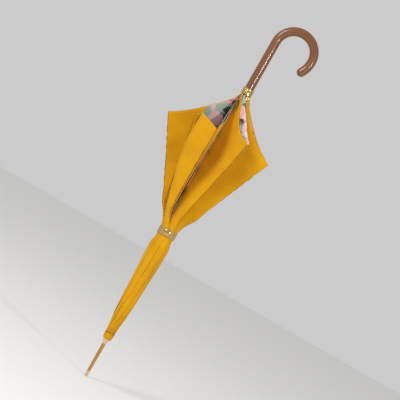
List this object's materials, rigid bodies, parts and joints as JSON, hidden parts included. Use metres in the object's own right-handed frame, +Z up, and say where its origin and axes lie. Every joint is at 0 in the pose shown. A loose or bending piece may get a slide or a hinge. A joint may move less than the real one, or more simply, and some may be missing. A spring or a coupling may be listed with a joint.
{
  "type": "walking umbrella",
  "caption": "Walking umbrella with a wooden crook handle, strapped around its furled middle with its double cloth flaring loose towards the handle.",
  "frame": {"origin": "centre of the ferrule's end face", "axes": "+Z up the shaft from the ferrule to the handle, +X the way the crook bends, -Y the front with the strap's button"},
  "size_m": [0.26, 0.208, 0.8989],
  "materials": {
    "steel_band": "turned band",
    "pale_gold": "lacquered, satin",
    "steel": "drawn wire",
    "shaft_wood": "stained, satin lacquer",
    "handle_wood": "chestnut brown, gloss varnish",
    "collar_gold": "polished and engraved",
    "strap_cloth": "ribbed band",
    "button_gold": "polished dome",
    "tip_gold": "polished",
    "rib_steel": "drawn wire",
    "yellow_cloth": "close twill with a printed lining"
  },
  "bodies": {
    "root": {"ferrule_tip": "steel_band", "ferrule": "pale_gold", "top_cap": "pale_gold", "notch": "pale_gold", "notch_pins": "steel", "shaft": "shaft_wood", "crook_handle": "handle_wood", "handle_collar": "collar_gold"},
    "runner": {"runner": "pale_gold"},
    "upper_catch": {"upper_catch": "steel"},
    "lower_catch": {"lower_catch": "steel"},
    "rib_1": {"rib_1": "rib_steel", "rib_tip_1": "tip_gold", "rivet_1": "tip_gold", "strap": "strap_cloth", "strap_button": "button_gold"},
    "stretcher_1": {"stretcher_1": "rib_steel"},
    "panel_1": {"panel_1": "yellow_cloth"},
    "rib_2": {"rib_2": "rib_steel", "rib_tip_2": "tip_gold", "rivet_2": "tip_gold"},
    "stretcher_2": {"stretcher_2": "rib_steel"},
    "panel_2": {"panel_2": "yellow_cloth"},
    "rib_3": {"rib_3": "rib_steel", "rib_tip_3": "tip_gold", "rivet_3": "tip_gold"},
    "stretcher_3": {"stretcher_3": "rib_steel"},
    "panel_3": {"panel_3": "yellow_cloth"},
    "rib_4": {"rib_4": "rib_steel", "rib_tip_4": "tip_gold", "rivet_4": "tip_gold"},
    "stretcher_4": {"stretcher_4": "rib_steel"},
    "panel_4": {"panel_4": "yellow_cloth"},
    "rib_5": {"rib_5": "rib_steel", "rib_tip_5": "tip_gold", "rivet_5": "tip_gold"},
    "stretcher_5": {"stretcher_5": "rib_steel"},
    "panel_5": {"panel_5": "yellow_cloth"},
    "rib_6": {"rib_6": "rib_steel", "rib_tip_6": "tip_gold", "rivet_6": "tip_gold"},
    "stretcher_6": {"stretcher_6": "rib_steel"},
    "panel_6": {"panel_6": "yellow_cloth"},
    "rib_7": {"rib_7": "rib_steel", "rib_tip_7": "tip_gold", "rivet_7": "tip_gold"},
    "stretcher_7": {"stretcher_7": "rib_steel"},
    "panel_7": {"panel_7": "yellow_cloth"},
    "rib_8": {"rib_8": "rib_steel", "rib_tip_8": "tip_gold", "rivet_8": "tip_gold"},
    "stretcher_8": {"stretcher_8": "rib_steel"},
    "panel_8": {"panel_8": "yellow_cloth"}
  },
  "joints": [
    {"name": "runner_slide", "type": "slide", "parent": "root", "child": "runner", "axis": [0, 0, -1], "range_m": [0, 0.24671]},
    {"name": "upper_catch_press", "type": "slide", "parent": "root", "child": "upper_catch", "axis": [-0.1822, 0.9833, 0], "range_m": [0, 0.0018], "stiffness_N_per_m": 500, "springref_m": -0.001},
    {"name": "lower_catch_press", "type": "slide", "parent": "root", "child": "lower_catch", "axis": [-0.1822, 0.9833, 0], "range_m": [0, 0.0018], "stiffness_N_per_m": 500, "springref_m": -0.001},
    {"name": "rib_1_swing", "type": "hinge", "parent": "root", "child": "rib_1", "pos_m": [-0.00156, -0.00734, 0.098], "axis": [0.9781, -0.2079, 0], "range_deg": [0, 70.05], "deforming": ["strap"]},
    {"name": "stretcher_1_swing", "type": "hinge", "parent": "rib_1", "child": "stretcher_1", "pos_m": [-0.00276, -0.01297, 0.329], "axis": [0.9781, -0.2079, 0], "range_deg": [-113.84, 0]},
    {"name": "panel_1_unfold", "type": "hinge", "parent": "rib_1", "child": "panel_1", "pos_m": [-0.00771, 0.04159, 0.06539], "axis": [-0.153, 0.8256, -0.5432], "range_deg": [0, 50.77], "deforming": ["panel_1"]},
    {"name": "rib_2_swing", "type": "hinge", "parent": "root", "child": "rib_2", "pos_m": [0.00408, -0.00629, 0.098], "axis": [0.8387, 0.5446, 0], "range_deg": [0, 70.05]},
    {"name": "stretcher_2_swing", "type": "hinge", "parent": "rib_2", "child": "stretcher_2", "pos_m": [0.00722, -0.01112, 0.329], "axis": [0.8387, 0.5446, 0], "range_deg": [-113.84, 0]},
    {"name": "panel_2_unfold", "type": "hinge", "parent": "rib_2", "child": "panel_2", "pos_m": [-0.03486, 0.02396, 0.06539], "axis": [-0.692, 0.4756, -0.5432], "range_deg": [0, 50.77], "deforming": ["panel_2"]},
    {"name": "rib_3_swing", "type": "hinge", "parent": "root", "child": "rib_3", "pos_m": [0.00734, -0.00156, 0.098], "axis": [0.2079, 0.9781, 0], "range_deg": [0, 70.05]},
    {"name": "stretcher_3_swing", "type": "hinge", "parent": "rib_3", "child": "stretcher_3", "pos_m": [0.01297, -0.00276, 0.329], "axis": [0.2079, 0.9781, 0], "range_deg": [-113.84, 0]},
    {"name": "panel_3_unfold", "type": "hinge", "parent": "rib_3", "child": "panel_3", "pos_m": [-0.04159, -0.00771, 0.06539], "axis": [-0.8256, -0.153, -0.5432], "range_deg": [0, 50.77], "deforming": ["panel_3"]},
    {"name": "rib_4_swing", "type": "hinge", "parent": "root", "child": "rib_4", "pos_m": [0.00629, 0.00408, 0.098], "axis": [-0.5446, 0.8387, 0], "range_deg": [0, 70.05]},
    {"name": "stretcher_4_swing", "type": "hinge", "parent": "rib_4", "child": "stretcher_4", "pos_m": [0.01112, 0.00722, 0.329], "axis": [-0.5446, 0.8387, 0], "range_deg": [-113.84, 0]},
    {"name": "panel_4_unfold", "type": "hinge", "parent": "rib_4", "child": "panel_4", "pos_m": [-0.02396, -0.03486, 0.06539], "axis": [-0.4756, -0.692, -0.5432], "range_deg": [0, 50.77], "deforming": ["panel_4"]},
    {"name": "rib_5_swing", "type": "hinge", "parent": "root", "child": "rib_5", "pos_m": [0.00156, 0.00734, 0.098], "axis": [-0.9781, 0.2079, 0], "range_deg": [0, 70.05]},
    {"name": "stretcher_5_swing", "type": "hinge", "parent": "rib_5", "child": "stretcher_5", "pos_m": [0.00276, 0.01297, 0.329], "axis": [-0.9781, 0.2079, 0], "range_deg": [-113.84, 0]},
    {"name": "panel_5_unfold", "type": "hinge", "parent": "rib_5", "child": "panel_5", "pos_m": [0.00771, -0.04159, 0.06539], "axis": [0.153, -0.8256, -0.5432], "range_deg": [0, 50.77], "deforming": ["panel_5"]},
    {"name": "rib_6_swing", "type": "hinge", "parent": "root", "child": "rib_6", "pos_m": [-0.00408, 0.00629, 0.098], "axis": [-0.8387, -0.5446, 0], "range_deg": [0, 70.05]},
    {"name": "stretcher_6_swing", "type": "hinge", "parent": "rib_6", "child": "stretcher_6", "pos_m": [-0.00722, 0.01112, 0.329], "axis": [-0.8387, -0.5446, 0], "range_deg": [-113.84, 0]},
    {"name": "panel_6_unfold", "type": "hinge", "parent": "rib_6", "child": "panel_6", "pos_m": [0.03486, -0.02396, 0.06539], "axis": [0.692, -0.4756, -0.5432], "range_deg": [0, 50.77], "deforming": ["panel_6"]},
    {"name": "rib_7_swing", "type": "hinge", "parent": "root", "child": "rib_7", "pos_m": [-0.00734, 0.00156, 0.098], "axis": [-0.2079, -0.9781, 0], "range_deg": [0, 70.05]},
    {"name": "stretcher_7_swing", "type": "hinge", "parent": "rib_7", "child": "stretcher_7", "pos_m": [-0.01297, 0.00276, 0.329], "axis": [-0.2079, -0.9781, 0], "range_deg": [-113.84, 0]},
    {"name": "panel_7_unfold", "type": "hinge", "parent": "rib_7", "child": "panel_7", "pos_m": [0.04159, 0.00771, 0.06539], "axis": [0.8256, 0.153, -0.5432], "range_deg": [0, 50.77], "deforming": ["panel_7"]},
    {"name": "rib_8_swing", "type": "hinge", "parent": "root", "child": "rib_8", "pos_m": [-0.00629, -0.00408, 0.098], "axis": [0.5446, -0.8387, 0], "range_deg": [0, 70.05]},
    {"name": "stretcher_8_swing", "type": "hinge", "parent": "rib_8", "child": "stretcher_8", "pos_m": [-0.01112, -0.00722, 0.329], "axis": [0.5446, -0.8387, 0], "range_deg": [-113.84, 0]},
    {"name": "panel_8_unfold", "type": "hinge", "parent": "rib_8", "child": "panel_8", "pos_m": [0.02396, 0.03486, 0.06539], "axis": [0.4756, 0.692, -0.5432], "range_deg": [0, 50.77], "deforming": ["panel_8"]}
  ],
  "couplings": [
    {"joint": "rib_1_swing", "follows": "runner_slide", "rad_per_m": 4.952},
    {"joint": "stretcher_1_swing", "follows": "runner_slide", "rad_per_m": -8.0501},
    {"joint": "panel_1_unfold", "follows": "runner_slide", "rad_per_m": 3.588},
    {"joint": "rib_2_swing", "follows": "runner_slide", "rad_per_m": 4.952},
    {"joint": "stretcher_2_swing", "follows": "runner_slide", "rad_per_m": -8.0501},
    {"joint": "panel_2_unfold", "follows": "runner_slide", "rad_per_m": 3.588},
    {"joint": "rib_3_swing", "follows": "runner_slide", "rad_per_m": 4.952},
    {"joint": "stretcher_3_swing", "follows": "runner_slide", "rad_per_m": -8.0501},
    {"joint": "panel_3_unfold", "follows": "runner_slide", "rad_per_m": 3.588},
    {"joint": "rib_4_swing", "follows": "runner_slide", "rad_per_m": 4.952},
    {"joint": "stretcher_4_swing", "follows": "runner_slide", "rad_per_m": -8.0501},
    {"joint": "panel_4_unfold", "follows": "runner_slide", "rad_per_m": 3.588},
    {"joint": "rib_5_swing", "follows": "runner_slide", "rad_per_m": 4.952},
    {"joint": "stretcher_5_swing", "follows": "runner_slide", "rad_per_m": -8.0501},
    {"joint": "panel_5_unfold", "follows": "runner_slide", "rad_per_m": 3.588},
    {"joint": "rib_6_swing", "follows": "runner_slide", "rad_per_m": 4.952},
    {"joint": "stretcher_6_swing", "follows": "runner_slide", "rad_per_m": -8.0501},
    {"joint": "panel_6_unfold", "follows": "runner_slide", "rad_per_m": 3.588},
    {"joint": "rib_7_swing", "follows": "runner_slide", "rad_per_m": 4.952},
    {"joint": "stretcher_7_swing", "follows": "runner_slide", "rad_per_m": -8.0501},
    {"joint": "panel_7_unfold", "follows": "runner_slide", "rad_per_m": 3.588},
    {"joint": "rib_8_swing", "follows": "runner_slide", "rad_per_m": 4.952},
    {"joint": "stretcher_8_swing", "follows": "runner_slide", "rad_per_m": -8.0501},
    {"joint": "panel_8_unfold", "follows": "runner_slide", "rad_per_m": 3.588}
  ]
}
